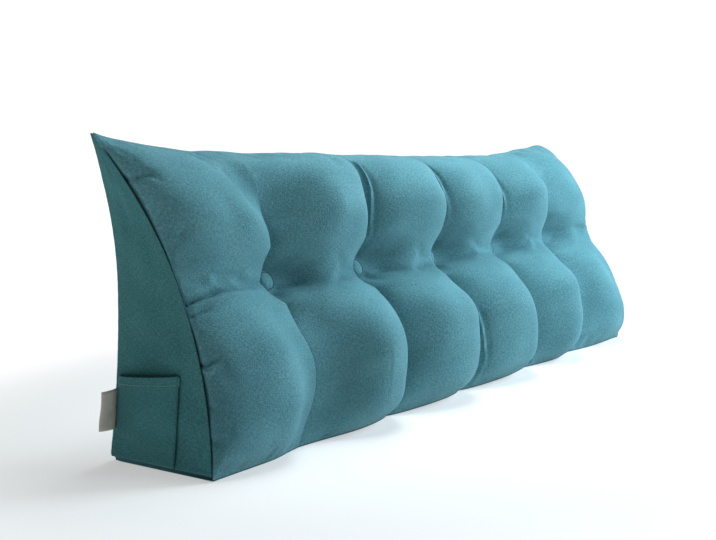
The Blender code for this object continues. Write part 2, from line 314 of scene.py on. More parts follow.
def heathered_chenille(name, dark, middle, light, seam_shade_colour, fleck, sheen):
    """Brushed chenille: yarn noise along warp and weft sets the shade, the pile gives the sheen,
    and near the seams the colour is darkened as painted shade.
    """
    material = new_material(name)
    tree = material.node_tree
    metres = add_node(tree, "ShaderNodeUVMap", uv_map="cloth_metres").outputs["UV"]

    def yarns(across, along, detail):
        """Noise in cells of the given width and length, in metres."""
        spread = add_node(
            tree,
            "ShaderNodeMapping",
            {"Vector": metres, "Scale": (1 / across, 1 / along, 1)},
        )
        return add_node(
            tree,
            "ShaderNodeTexNoise",
            {"Vector": spread.outputs["Vector"], "Scale": 1.0, "Detail": detail, "Roughness": 0.6},
            noise_dimensions="2D",
        ).outputs["Fac"]

    warp = yarns(DRAWN_YARN, SLUB, 2.0)
    weft = yarns(SLUB, DRAWN_YARN, 2.0)
    both = add_node(
        tree, "ShaderNodeMath", {0: warp, 1: weft}, operation="ADD"
    ).outputs["Value"]
    cloud = yarns(*CLOUD, 3.0)
    lifted = add_node(
        tree, "ShaderNodeMath", {0: cloud, 1: CLOUD_SHARE, 2: both}, operation="MULTIPLY_ADD"
    ).outputs["Value"]
    mean = 1 + CLOUD_SHARE / 2
    shade = add_node(
        tree,
        "ShaderNodeMapRange",
        {"Value": lifted, "From Min": mean - fleck, "From Max": mean + fleck},
    ).outputs["Result"]
    ramp = add_node(tree, "ShaderNodeValToRGB", {"Fac": shade})
    stops = ramp.color_ramp
    stops.elements[0].color = linear(dark)
    stops.elements[1].color = linear(light)
    stops.elements.new(0.5).color = linear(middle)
    # Painted shade: the seam number mixes the colour towards the dark seam shade colour, for the
    # shade in the seam grooves and the button grooves
    seam = add_node(tree, "ShaderNodeAttribute", attribute_name="seam").outputs["Fac"]
    colour = add_node(
        tree,
        "ShaderNodeMix",
        {"Factor": seam, 6: ramp.outputs["Color"], 7: linear(seam_shade_colour)},
        data_type="RGBA",
    ).outputs[2]
    relief = add_node(
        tree, "ShaderNodeBump", {"Height": both, "Strength": 0.7, "Distance": 0.0011}
    )
    shader = add_node(
        tree,
        "ShaderNodeBsdfPrincipled",
        {
            "Base Color": colour,
            "Roughness": PILE_ROUGHNESS,
            "Specular IOR Level": 0.2,
            "Sheen Weight": sheen,
            "Sheen Roughness": 0.45,
            "Sheen Tint": linear(PILE_SHEEN_TINT),
            "Normal": relief.outputs["Normal"],
        },
    )
    add_node(tree, "ShaderNodeOutputMaterial", {"Surface": shader.outputs["BSDF"]})
    return material


# The fourth colour of each cloth is the painted shade of its seams
front_chenille = heathered_chenille(
    "front_chenille", "#42717a", "#4f818a", "#62959d", "#1b3a41", 0.35, 0.12
)
# Painted shade: the ends, back, base and pocket wear a darker, greener copy of the front's
# chenille, for the shade they stand in
shaded_panel_chenille = heathered_chenille(
    "shaded_panel_chenille", "#34686c", "#3f777b", "#4e898c", "#152f34", 0.34, 0.10
)
print("cloths:", front_chenille.name, shaded_panel_chenille.name)


# %% [markdown]
# ## The columns
#
# Fibre filling pushes the front out into round columns, and the buttons and the stitched valleys
# hold it back. Each column's cross-section is a super-ellipse: almost flat on its crest, and
# steep where it dives into the valley. No two columns are filled alike, and a loose valley is a
# shallow soft wave. Sculpting could give all that, but tables of a few millimetres say it in the
# maker's terms: how full each right flank is, and how deep, soft and bent each valley is.

# %% Fullness of each column and valley
MM = 0.001
# How much fuller than the plain lobe each column's right flank is, in millimetres, at each height
FLANK_HEIGHTS = np.array([0.00, 0.12, 0.25, 0.45, 0.56, 0.64, 0.78, 0.90, 1.00])
FLANK_FILL = np.array(
    [
        (0, 2, 4, -2, -12, 4, 8, -4, 0),
        (0, 6, 2, -5, -18, 2, -5, 9, 0),
        (0, 5, 3, -12, -18, 10, 4, 12, 0),
        (0, 8, 3, -3, -20, 6, 1, 4, 0),
        (0, 2, -3, -7, -16, 3, 5, 7, 0),
        (0, 8, -9, -4, 3, 8, -12, -14, 0),
    ]
)
# How much shallower each valley is low down and high up, in millimetres, and how soft, 0 to 1
VALLEY_FILL_LOW = np.array([25, 2, 0, 12, 14])
VALLEY_FILL_HIGH = np.array([6, -5, -20, -15, 0])
VALLEY_SOFT_LOW = np.array([0.85, 0.1, 0.0, 0.4, 0.6])
VALLEY_SOFT_HIGH = np.array([1.0, 0.1, 0.0, 0.1, 1.0])
# The height where each of the two fills is largest, and how far it reaches up and down
LOW_FILL_AT = (0.26, 0.17)
HIGH_FILL_AT = (0.90, 0.09)
# The heights where a soft valley starts to sharpen, going up, and where it is soft again
SOFT_BELOW = (0.54, 0.20)
SOFT_ABOVE = (0.62, 0.22)
VALLEY_REACH = 0.30
LEFT_FLANK = 0.75
print("most and least fullness of a flank, in mm:", FLANK_FILL.max(), FLANK_FILL.min())


# %% Lobes and valleys
def nearest_valley(along):
    """Number of the nearest valley, from 1 to 5."""
    return np.clip(np.round(along), 1, COLUMNS - 1).astype(int)


def flank_fill(column, up):
    """The fullness table's curve of each place's own column, in metres."""
    total = np.zeros(np.broadcast(column, up).shape)
    for number, values in enumerate(FLANK_FILL * MM):
        total = np.where(column == number, smooth_curve(FLANK_HEIGHTS, values, up), total)
    return total


def valley_fill(valley, up):
    """Two soft bumps up each valley: a low one at a quarter of the height and a high one."""
    low = VALLEY_FILL_LOW[valley - 1] * hill(up - LOW_FILL_AT[0], LOW_FILL_AT[1])
    high = VALLEY_FILL_HIGH[valley - 1] * hill(up - HIGH_FILL_AT[0], HIGH_FILL_AT[1])
    return (low + high) * MM


def valley_softness(valley, up):
    """How much of a valley is a cosine wave: its low share, none at the button, its high share."""
    low = VALLEY_SOFT_LOW[valley - 1] * soft_step((SOFT_BELOW[0] - up) / SOFT_BELOW[1])
    high = VALLEY_SOFT_HIGH[valley - 1] * soft_step((up - SOFT_ABOVE[0]) / SOFT_ABOVE[1])
    return low + high


def lobe(along, up):
    """Share of the way from valley to crest: a super-ellipse, or a cosine where it is soft."""
    within = along % 1.0
    within = np.where(along >= COLUMNS, 1.0, within)
    round_part = 1 - np.abs(2 * within - 1) ** LOBE_ROUNDNESS
    power = np.where(within < 0.5, LEFT_FLANK, LOBE_FULLNESS)
    end_flank = (along < 0.5) | (along > COLUMNS - 0.5)
    power = np.where(end_flank, LOBE_FULLNESS, power)
    soft = np.where(end_flank, 0, valley_softness(nearest_valley(along), up))
    wave = 0.5 - 0.5 * np.cos(2 * np.pi * within)
    return lerp(round_part**power, wave, soft)


def bulge(along, up):
    """How proud the filling stands: from valley floor to crest by the lobe, plus flank fill."""
    column = np.clip(np.floor(along), 0, COLUMNS - 1).astype(int)
    within = along - column
    crest = smooth_curve(RELIEF_SHARES, RELIEF_CREST, up)
    valley = smooth_curve(RELIEF_SHARES, RELIEF_VALLEY, up)
    nearest = nearest_valley(along)
    valley = valley + valley_fill(nearest, up) * hill(along - nearest, VALLEY_REACH)
    first = along <= 1
    last = along >= COLUMNS - 1
    crest = crest * np.where(first, END_COLUMN_SHARES[0], np.where(last, END_COLUMN_SHARES[1], 1))
    floor = valley * np.where(first, along, np.where(last, COLUMNS - along, 1))
    flank = 1 - np.abs(2 * within**3 - 1) ** 3
    flank = lerp(flank, flank**2, valley_softness(nearest, up))
    return lerp(floor, crest, lobe(along, up)) + flank * flank_fill(column, up)


# %% The relief and its dimples
SMOOTH_STEP = 0.028
SMOOTH_FROM_END = 0.12
SMOOTH_WEIGHTS = np.array([1, 4, 6, 4, 1]) / 16
DIMPLE_BOWL = 0.25


def button_reach(along, up):
    """Metres across, above and straight from the nearest button, along the slanted front."""
    across = (along - nearest_valley(along)) * COLUMN_PITCH
    above = (up - BUTTON_SHARE) * MIDDLE_HEIGHT * FRONT_SLANT
    return across, above, np.hypot(across, above)


def relief(along, up):
    """A weighted mean of the bulge over five heights, which rounds its bends, less the dimples.

    A dimple's rim is a circle left of the button and a longer half ellipse right of it. From the
    seat to the rim it rises by an even S, mixed on the right with a bowl, 1 - (1 - s) squared.
    """
    step = SMOOTH_STEP * soft_step(np.minimum(up, 1 - up) / SMOOTH_FROM_END)
    proud = 0
    for number, weight in zip((-2, -1, 0, 1, 2), SMOOTH_WEIGHTS):
        proud = proud + weight * bulge(along, up + number * step)
    across, above, reach = button_reach(along, up)
    longer = SEAT_REACH["right"] / SEAT_REACH["round"]
    squeezed = np.hypot(np.where(across > 0, across / longer, across), above)
    far = SEAT_REACH["round"] * np.maximum(reach, 1e-6) / np.maximum(squeezed, 1e-6)
    away = np.clip((reach - SEAT_RADIUS) / (far - SEAT_RADIUS), 0, 1)
    to_right = soft_step(across / SEAT_RADIUS / 2 + 0.5)
    rise = lerp(soft_step(away), 1 - (1 - away) ** 2, DIMPLE_BOWL * to_right)
    return lerp(SEAT_DEPTH, proud, rise)


heights = np.array([0.2, BUTTON_SHARE, 0.8])
print("relief at a crest:", relief(np.full(3, 1.5), heights).round(3))
print("relief at a valley:", relief(np.full(3, 2.0), heights).round(3))

# %% Bent valleys, uneven filling and the top
# How far the foot of each valley leans to one side, in millimetres
VALLEY_SWAY = np.array([-30, -34, -34, 0, -26])
SWAY_HEIGHT = 0.42
SWAY_POWER = 1.5
# How far each valley bows to the right low down, in millimetres, at which height and reach
VALLEY_BOW = np.array([22, 0, 0, 0, 0])
BOW_AT = (0.18, 0.12)
# How far the top of each valley leans to one side, in millimetres, from which height and how soon
VALLEY_TOP_LEAN = np.array([-30, 0, 0, 0, -12])
TOP_LEAN_FROM = (0.74, 0.24)
SWAY_REACH = 0.35
# Slow waves of the filling: height in metres, rates along and up, and start
FILLING_WAVES = (
    (0.0013, 41, 17, 0.7),
    (0.0011, -29, 38, 2.1),
    (0.0008, 67, -23, 4.0),
    (0.0010, 13, 71, 1.0),
)


def sway(along, up):
    """How far each valley is bent to one side at foot, bow and top, dying away beside it."""
    nearest = nearest_valley(along)
    lower = np.clip(1 - up / SWAY_HEIGHT, 0, 1) ** SWAY_POWER
    aside = VALLEY_SWAY[nearest - 1] * lower
    aside = aside + VALLEY_BOW[nearest - 1] * hill(up - BOW_AT[0], BOW_AT[1])
    higher = soft_step((up - TOP_LEAN_FROM[0]) / TOP_LEAN_FROM[1])
    aside = aside + VALLEY_TOP_LEAN[nearest - 1] * higher
    return aside * MM * hill(along - nearest, SWAY_REACH)


def filling(along, up):
    """Uneven filling: slow waves that don't line up, gone at the seams."""
    x = along * COLUMN_PITCH
    z = up * MIDDLE_HEIGHT
    waves = 0
    for height, rate_along, rate_up, start in FILLING_WAVES:
        waves = waves + height * np.sin(rate_along * x + rate_up * z + start)
    return waves * soft_step(up / 0.1) * soft_step((1 - up) / 0.1)


def top_fullness(x, up):
    """How far the top stands up: fuller over the two left columns, uneven along its length."""
    left = soft_step((EAR_HALF_LENGTH + x - 0.01) / 0.09) * soft_step(-x / 0.35)
    uneven = 0.0011 * np.sin(23 * x + 0.6) + 0.0009 * np.sin(51 * x + 2.0)
    inside = soft_step((EAR_HALF_LENGTH - np.abs(x)) / 0.1)
    return (TOP_FULLNESS * left + uneven * inside) * soft_step((up - 0.78) / 0.2)


def right_ear_drop(x):
    """The right ear is rounder: past its peak the top falls by a square law."""
    past = np.clip(x - RIGHT_EAR_PEAK, 0, None) / (EAR_HALF_LENGTH - RIGHT_EAR_PEAK)
    return RIGHT_EAR_DROP * past**2


# %% The front and back surfaces
def front_surface(along, up, proud):
    """The front: the seam's depth less the relief, turned up a little above the bottom seam."""
    x, height = place_on_wedge(along, up, BASE_TOP, SIDE_INSET)
    tilt = RELIEF_RISE * np.minimum(up / RELIEF_RISE_START, 1)
    y = seam_depth(up) + lean(x, up) - proud * np.cos(tilt)
    z = height + proud * np.sin(tilt) + top_fullness(x, up) - right_ear_drop(x) * up**8
    return np.stack([x + sway(along, up), y, z], axis=-1)


def back_depth(x, height, up):
    """Depth of the back's outer face: upright, with a parabola's crown both ways."""
    end = np.maximum(1 - (x / half_length(height)) ** 2, 0)
    left_end = BACK_LEFT_FULLNESS * soft_step((-x - 0.35) / 0.3) * soft_step((1 - up) / 0.15)
    return BACK_DEPTH + lean(x, up) + BACK_CROWN * 4 * up * (1 - up) * end + left_end


def back_surface(along, up, inset, foot):
    """The back's outer face, or a surface as far inside it as the inset."""
    x, height = place_on_wedge(along, up, foot, SIDE_INSET)
    z = height + top_fullness(x, up) - right_ear_drop(x) * up**8
    return np.stack([x, back_depth(x, height, up) - inset, z], axis=-1)


# %% [markdown]
# ## Folds and pulls
#
# Cloth that is tied down at a button can't lie smooth: it pulls into creases towards the button,
# puckers along the seams, and the spare cloth of a valley lies over itself in a thin pleat. Each
# crease is a line on the front with a width and a height. A point's distance from the line gives
# its height, so a crease is as long, bent and uneven as the real one. A simulation makes folds
# too, but it places them itself, and the real ones lie where the sewing pulls.

# %% Creases along lines
def line_distance(x, z, line):
    """Distance from a line of points, and the share of the line's length where it is nearest."""
    line = np.asarray(line, float)
    starts = line[:-1]
    steps = line[1:] - starts
    lengths = np.linalg.norm(steps, axis=1)
    before = np.append(0, np.cumsum(lengths))
    best = np.full(x.shape, np.inf)
    share = np.zeros(x.shape)
    for start, step, length, done in zip(starts, steps, lengths, before):
        off_x = x - start[0]
        off_z = z - start[1]
        along = np.clip((off_x * step[0] + off_z * step[1]) / length**2, 0, 1)
        distance = np.hypot(off_x - along * step[0], off_z - along * step[1])
        share = np.where(distance < best, (done + along * length) / before[-1], share)
        best = np.minimum(best, distance)
    return best, share


def crease(along, up, line, width, height, fade):
    """A ridge or trough along a line: a round bump across it, fading towards its ends."""
    points = [(column * COLUMN_PITCH, share * MIDDLE_HEIGHT) for column, share in line]
    distance, share = line_distance(along * COLUMN_PITCH, up * MIDDLE_HEIGHT, points)
    start, end = (max(part, 1e-6) for part in fade)
    strength = soft_step(share / start) * soft_step((1 - share) / end)
    return strength * height * hill(distance, width)


# %% Pleats and pulls
PLEAT_FADE = (0.45, 0.12)
TROUGH_OFFSET = 2.1
TROUGH_SHARE = 0.6
# Pleats: the line up the valley's right flank, and the ridge's width and height in metres
PLEATS = (
    (((2.048, 0.64), (2.052, 0.70), (2.062, 0.76), (2.080, 0.83), (2.082, 0.94)), 0.0026, 0.0060),
    (((3.082, 0.67), (3.085, 0.73), (3.082, 0.79), (3.070, 0.86), (3.035, 0.95)), 0.0024, 0.0064),
    (((4.086, 0.67), (4.088, 0.73), (4.082, 0.79), (4.064, 0.84), (4.030, 0.92)), 0.0022, 0.0056),
    (((3.110, 0.00), (3.104, 0.06), (3.106, 0.12), (3.088, 0.22), (3.060, 0.32)), 0.0026, 0.0060),
)
# Pulls: the line, its width and its height in metres, and how soon it fades at each end
PULLS = (
    (((0.004, 0.508), (0.09, 0.518), (0.22, 0.530), (0.66, 0.550)), 0.0044, -0.0095, (0.01, 0.7)),
    (((0.30, 0.534), (0.46, 0.544), (0.66, 0.552), (0.90, 0.570)), 0.0052, -0.0060, (0.3, 0.2)),
    (((0.004, 0.492), (0.10, 0.502), (0.24, 0.514), (0.60, 0.528)), 0.0070, 0.0060, (0.05, 0.5)),
    (((0.004, 0.470), (0.07, 0.482), (0.18, 0.490)), 0.0042, -0.0040, (0.05, 0.6)),
    (((0.010, 0.530), (0.10, 0.542), (0.26, 0.556)), 0.0060, 0.0026, (0.05, 0.6)),
    (((0.002, 0.322), (0.03, 0.330), (0.085, 0.339)), 0.0040, -0.0056, (0.03, 0.7)),
    (((0.003, 0.305), (0.03, 0.313), (0.080, 0.322)), 0.0060, 0.0030, (0.05, 0.8)),
    (((0.003, 0.200), (0.040, 0.203)), 0.0040, -0.0030, (0.05, 0.8)),
    (((0.003, 0.104), (0.050, 0.116)), 0.0050, -0.0026, (0.05, 0.8)),
    (((0.004, 0.858), (0.028, 0.874), (0.060, 0.870), (0.12, 0.858)), 0.0060, -0.0050, (0.2, 0.5)),
    (((0.010, 0.840), (0.045, 0.850), (0.090, 0.846)), 0.0075, 0.0030, (0.3, 0.5)),
    (((0.030, 0.700), (0.10, 0.706), (0.17, 0.700)), 0.0080, -0.0022, (0.3, 0.5)),
    (((1.12, 0.545), (1.26, 0.528), (1.50, 0.530)), 0.0080, -0.0030, (0.2, 0.6)),
    (((2.12, 0.555), (2.28, 0.540), (2.55, 0.545)), 0.0070, -0.0030, (0.2, 0.6)),
    (((3.12, 0.560), (3.30, 0.548), (3.56, 0.555)), 0.0075, -0.0028, (0.2, 0.6)),
    (((4.12, 0.562), (4.28, 0.548), (4.50, 0.548)), 0.0070, -0.0028, (0.2, 0.6)),
    (((5.14, 0.575), (5.40, 0.570), (5.80, 0.566)), 0.0065, -0.0040, (0.2, 0.4)),
)


def folds(along, up):
    """All the pulls, and the pleats, each with a shallower trough to the right of its ridge."""
    total = np.zeros(np.broadcast(along, up).shape)
    for line, width, height in PLEATS:
        total += crease(along, up, line, width, height, PLEAT_FADE)
        beside = TROUGH_OFFSET * width / COLUMN_PITCH
        shifted = [(column + beside, share) for column, share in line]
        total += crease(along, up, shifted, width, -TROUGH_SHARE * height, PLEAT_FADE)
    for line, width, height, fade in PULLS:
        total += crease(along, up, line, width, height, fade)
    return total


print("creases:", len(PLEATS), "pleats and", len(PULLS), "pulls")


# %% Puckers and gathers
SIDE_PUCKER = 0.0007
LONG_PUCKER = 0.0008
PUCKER_START = 0.006
GATHER = 0.0009


def puckers(along, up):
    """Small ripples across each seam, from waves of unlike length, dying away from the seam."""
    z = up * MIDDLE_HEIGHT
    x = along * COLUMN_PITCH
    to_side = np.minimum(along, COLUMNS - along) * COLUMN_PITCH
    side = np.sin(230 * z + 1.3 * np.sin(61 * z)) + 0.6 * np.sin(371 * z + 0.8)
    side = SIDE_PUCKER * side * hill(to_side, 0.018) * soft_step(to_side / PUCKER_START)
    low = np.sin(173 * x + 1.5 * np.sin(37 * x)) + 0.6 * np.sin(287 * x + 2.2)
    low = LONG_PUCKER * low * (hill(z, 0.016) + hill(z - MIDDLE_HEIGHT, 0.020))
    ends = soft_step(z / PUCKER_START) * soft_step((MIDDLE_HEIGHT - z) / PUCKER_START)
    return side + low * ends


def gathers(along, up):
    """Rays round each button: waves in the angle about it, strongest just outside its rim."""
    across, above, reach = button_reach(along, up)
    nearest = nearest_valley(along)
    angle = np.arctan2(above, across)
    rays = np.sin(6 * angle + 1.9 * nearest) + 0.5 * np.sin(9 * angle + 3.1 * nearest)
    right_side = 0.35 + 0.65 * soft_step(across / 0.02 + 0.5)
    return GATHER * rays * hill(reach - 0.032, 0.013) * right_side


# %% Where the grid lines fall
CELLS_IN_COLUMN = 72
ROWS_UP = 180
ROWS_DOWN_BACK = 18


def weighted_lines(cells, weight):
    """Lines from 0 to 1 that lie closer where the weight is larger: equal shares of its sum."""
    fine = np.linspace(0, 1, 4001)
    total = np.append(0, np.cumsum((weight(fine)[1:] + weight(fine)[:-1]) / 2))
    return np.interp(np.linspace(0, total[-1], cells + 1), total, fine)


def lines_along():
    """Lines of all the columns, crowded on each side of the valleys, where the pleats are."""
    column = weighted_lines(
        CELLS_IN_COLUMN, lambda q: 1 + 5 * hill(q, 0.075) + 3 * hill(1 - q, 0.05)
    )
    return np.append((np.arange(COLUMNS)[:, None] + column[:-1]).ravel(), COLUMNS)


along_lines = lines_along()
up_lines = weighted_lines(ROWS_UP, lambda t: 1 + 3 * hill(t, 0.03) + 2 * hill(1 - t, 0.05))
print("grid:", len(along_lines), "lines along,", len(up_lines), "lines up")


# %% [markdown]
# ## Letting the cloth find its own shape
#
# A filled cover is a sheet under pressure that is held only at its seams, its buttons and the
# gathered valleys. Blender's Cloth can work that out: a coarse copy of the front, held where the
# real one is sewn, is blown out for twenty frames. Its movement, kept below a centimetre, is then
# carried over to the fine grid, so that the sewn creases can be drawn in after it.

# %% Where the cloth is held
COARSE_STEP = 3
CLOTH_PRESSURE = 4.0
CLOTH_FRAMES = 20
CLOTH_MOVE_MOST = 0.010
CLOTH_GROWTH = 0.006


def held_share(along, up):
    """How firmly each point is held, 0 to 1: fully at seams and buttons, partly in the valleys."""
    to_side = np.minimum(along, COLUMNS - along) * COLUMN_PITCH
    to_end = np.minimum(up, 1 - up) * MIDDLE_HEIGHT
    at_seam = np.maximum(hill(to_side, 0.008), hill(to_end, 0.008))
    at_button = 1 - soft_step((button_reach(along, up)[2] - SEAT_RADIUS) / 0.012)
    nearest = nearest_valley(along)
    sharp = 1 - valley_softness(nearest, up)
    to_valley = (along - nearest) * COLUMN_PITCH
    at_valley = lerp(0.9 * hill(to_valley, 0.055), 0.6 * hill(to_valley, 0.012), sharp)
    return np.clip(np.maximum(np.maximum(at_seam, at_button), at_valley), 0, 1)


# %% Cloth simulation
def blown_out(grid, held):
    """Where a sheet's points end after Blender's Cloth has pressed it outwards for some frames."""
    rows, columns = grid.shape[:2]
    mesh = bpy.data.meshes.new("cloth_trial")
    faces = grid_faces(rows, columns).tolist()
    mesh.from_pydata(grid.reshape(-1, 3), [], faces)
    trial = bpy.data.objects.new("cloth_trial", mesh)
    bpy.context.scene.collection.objects.link(trial)
    group = trial.vertex_groups.new(name="held")
    levels = np.round(held.ravel() * 10).astype(int)
    for level in range(1, 11):
        group.add(np.flatnonzero(levels == level).tolist(), level / 10, "REPLACE")
    cloth = trial.modifiers.new("cloth", "CLOTH")
    cloth.settings.quality = 6
    cloth.settings.mass = 0.3
    cloth.settings.tension_stiffness = 12
    cloth.settings.compression_stiffness = 12
    cloth.settings.shear_stiffness = 6
    cloth.settings.bending_stiffness = 1.0
    cloth.settings.shrink_min = -CLOTH_GROWTH
    cloth.settings.use_pressure = True
    cloth.settings.uniform_pressure_force = CLOTH_PRESSURE
    cloth.settings.effector_weights.gravity = 0
    cloth.settings.vertex_group_mass = "held"
    cloth.collision_settings.use_collision = False
    cloth.point_cache.frame_start = 1
    cloth.point_cache.frame_end = CLOTH_FRAMES
    for frame_number in range(1, CLOTH_FRAMES + 1):
        bpy.context.scene.frame_set(frame_number)
    seen = trial.evaluated_get(bpy.context.evaluated_depsgraph_get()).data
    flat = np.empty(3 * len(seen.vertices), np.float32)
    seen.vertices.foreach_get("co", flat)
    bpy.data.objects.remove(trial)
    bpy.data.meshes.remove(mesh)
    bpy.context.scene.frame_set(1)
    return flat.reshape(grid.shape).astype(float)


def between_lines(table, places):
    """Values between a table's rows, on cubics whose slope at a row is half its neighbours' gap."""
    low = np.clip(np.floor(places).astype(int), 0, len(table) - 2)
    share = (places - low)[:, None, None]
    rows = [table[np.clip(low + step, 0, len(table) - 1)] for step in (-1, 0, 1, 2)]
    rise = (rows[2] - rows[0]) / 2
    next_rise = (rows[3] - rows[1]) / 2
    gap = rows[2] - rows[1]
    return (
        rows[1]
        + share * rise
        + share**2 * (3 * gap - 2 * rise - next_rise)
        + share**3 * (rise + next_rise - 2 * gap)
    )


def cloth_movement(grid, along, up):
    """The trial's movement at each point of the fine grid, with its length kept in bounds."""
    coarse = grid[::COARSE_STEP, ::COARSE_STEP]
    held = held_share(along, up)[::COARSE_STEP, ::COARSE_STEP]
    moved = blown_out(coarse, held) - coarse
    length = np.linalg.norm(moved, axis=2, keepdims=True)
    print(f"cloth moved {length.mean() / MM:.1f} mm on average, {length.max() / MM:.1f} mm at most")
    moved *= CLOTH_MOVE_MOST * np.tanh(length / CLOTH_MOVE_MOST) / np.maximum(length, 1e-9)
    fine = between_lines(moved, np.arange(grid.shape[0]) / COARSE_STEP)
    fine = between_lines(fine.transpose(1, 0, 2), np.arange(grid.shape[1]) / COARSE_STEP)
    return fine.transpose(1, 0, 2)


# %% [markdown]
# ## The filled front
#
# The front cloth and its filling are one soft body. Its grid runs up the front, over the narrow
# top ridge, down the back and under the base, like a sleeve, and a strip of triangles closes each
# end. Only the front shows: the other cloths lie over the rest.

# %% Shape of the front
# How wide the painted shade along each seam is, and the share of the height above which it fades
# out at the ear tips
SEAM_LINE = 0.0006
SEAM_FADE = 0.985
EAR_SWELL = 0.030
EAR_PUSH = (0.0045, -0.0045, 0.0020)
FOOT_ROUND = 0.016
FOOT_ROUND_START = 0.045
PLUMP_FROM = 0.0011
PLUMP_REACH = 0.030


def settle(grid):
    """Rounds the foot of the back: near the floor it comes forward by a quarter circle."""
    low = np.clip((FOOT_ROUND - grid[..., 2]) / FOOT_ROUND, 0, 1)
    forward = FOOT_ROUND * (1 - np.sqrt(np.maximum(1 - low**2, 0)))
    near_back = soft_step((grid[..., 1] - FOOT_ROUND_START) / (BACK_DEPTH - FOOT_ROUND_START))
    grid[..., 1] -= forward * near_back
    return grid


def seam_distance(grid):
    """Metres along each row of the grid to the nearer of its two ends."""
    steps = np.linalg.norm(np.diff(grid, axis=1), axis=2)
    from_left = np.concatenate([np.zeros((len(grid), 1)), np.cumsum(steps, axis=1)], axis=1)
    return np.minimum(from_left, from_left[:, -1:] - from_left)


def front_grid():
    """The front's points and their distance from the side seams.

    The relief comes first, then the cloth's own movement, the creases along the normals, a
    plump edge beside each side seam, and last the swollen tips of the ears.
    """
    along, up = np.meshgrid(along_lines, up_lines)
    grid = front_surface(along, up, relief(along, up) + filling(along, up))
    grid += cloth_movement(grid, along, up)
    detail = folds(along, up) + puckers(along, up) + gathers(along, up)
    edge = soft_step(np.minimum(up, 1 - up) / 0.01)
    grid += outward_normals(grid) * (detail * edge)[..., None]
    to_side = seam_distance(grid)
    side = np.sign(along - COLUMNS / 2)
    plump = (SIDE_INSET - GAP) * (1 - hill(to_side, PLUMP_FROM)) * hill(to_side, PLUMP_REACH)
    grid[..., 0] += plump * side * edge
    tip = np.stack([np.abs(grid[..., 0]) - EAR_HALF_LENGTH, grid[..., 2] - EAR_HEIGHT])
    swell = hill(np.hypot(*tip), EAR_SWELL)
    push = np.stack([side * EAR_PUSH[0], 0 * side + EAR_PUSH[1], 0 * side + EAR_PUSH[2]], axis=-1)
    return grid + swell[..., None] * push, to_side


def cushion_faces(rows, columns, front_rows, back_rows):
    """Faces of the sleeve, and of the strips between front and back that close its two ends."""
    sleeve = grid_faces(rows, columns, close_rows=True)
    each = (front_rows - 1) // (back_rows - 1)
    low = np.arange(front_rows - 1)
    back = rows - 1 - low // each
    fans = np.stack([low, low + 1, back], axis=-1)
    step = np.arange(back_rows - 1)
    joins = np.stack([(step + 1) * each, rows - 2 - step, rows - 1 - step], axis=-1)
    strip = np.concatenate([fans, joins])
    left = strip * columns
    right = (strip * columns + columns - 1)[:, ::-1]
    return sleeve, np.concatenate([left, right])


# %% The whole soft body
# The hidden back is hollowed, to stay clear of the slack back cloth
BACK_HOLLOW = 0.0045
HOLLOW_REACH = 0.04
UNDERSIDE_DEPTH = 0.2


def make_front_cushion():
    """The whole soft body as one closed mesh: front and hidden back as a sleeve, and two ends."""
    front, to_side = front_grid()
    back_up = np.linspace(1, 0, ROWS_DOWN_BACK + 1)
    along, up = np.meshgrid(along_lines, back_up)
    back = back_surface(along, up, BACK_INSET, BASE_TOP)
    to_end = np.minimum(along, COLUMNS - along) * COLUMN_PITCH
    to_seam = np.minimum(to_end, np.minimum(up, 1 - up) * MIDDLE_HEIGHT)
    back[..., 1] -= BACK_HOLLOW * soft_step(to_seam / HOLLOW_REACH)
    grid = settle(np.concatenate([front, back]))
    rows, columns = grid.shape[:2]
    sleeve, ends = cushion_faces(rows, columns, len(front), len(back))
    u = arc_lengths(front, 1)
    v = np.append(arc_lengths(front, 0), arc_lengths(back, 0) + arc_lengths(front, 0)[-1])
    v = np.append(v, v[-1] + UNDERSIDE_DEPTH)
    end_map = grid.reshape(-1, 3)[ends.ravel()][:, 1:]
    seam = np.zeros((rows, columns))
    # Painted shade along the side seams and the bottom seam of the front
    foot = hill(arc_lengths(front, 0), SEAM_LINE)[:, None]
    below_tip = soft_step((SEAM_FADE - up_lines) / 0.05)[:, None]
    seam[: len(front)] = np.maximum(hill(to_side, SEAM_LINE) * below_tip, foot)
    faces = [*sleeve.tolist(), *ends.tolist()]
    corner_map = np.concatenate([metre_map(u, v), end_map])
    cushion = build_mesh("front_cushion", grid, faces, corner_map, seam, front_chenille)
    cushion.data.set_sharp_from_angle(angle=math.radians(75))
    return cushion


front_cushion = make_front_cushion()
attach(front_cushion, "root")
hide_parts("filled_front")


# %% [markdown]
# ## The flat cut pieces
#
# Ends, back and base are single cloths. A sewn edge turns inwards to its seam, so each grid sinks
# by about a millimetre over its last two, and Solidify gives it the thickness of the cloth. A flat
# plate with a sharp edge would show the difference at once.

# %% Rolled edges and cut sizes
ROLL_WIDTH = 0.0024
ROLL_DEPTH = 0.0011
SHEET_CLOTH = 0.0012


def roll(distance):
    """How far a cloth sinks near its seam: a quarter circle over the roll's width."""
    share = np.clip(1 - distance / ROLL_WIDTH, 0, 1)
    return ROLL_DEPTH * (1 - np.sqrt(np.maximum(1 - share**2, 0)))


def thicken(sheet, thickness=SHEET_CLOTH):
    """Gives a cloth its thickness, inwards from the face that was drawn."""
    solid = sheet.modifiers.new("cloth", "SOLIDIFY")
    solid.thickness = thickness
    solid.offset = -1
    return sheet


def declare_cloth(sheet, node):
    """Hangs a cloth on the root body and hides the solid it takes the place of."""
    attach(sheet, "root")
    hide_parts(node)


# %% The two ends
SIDE_FOOT = 0.0072


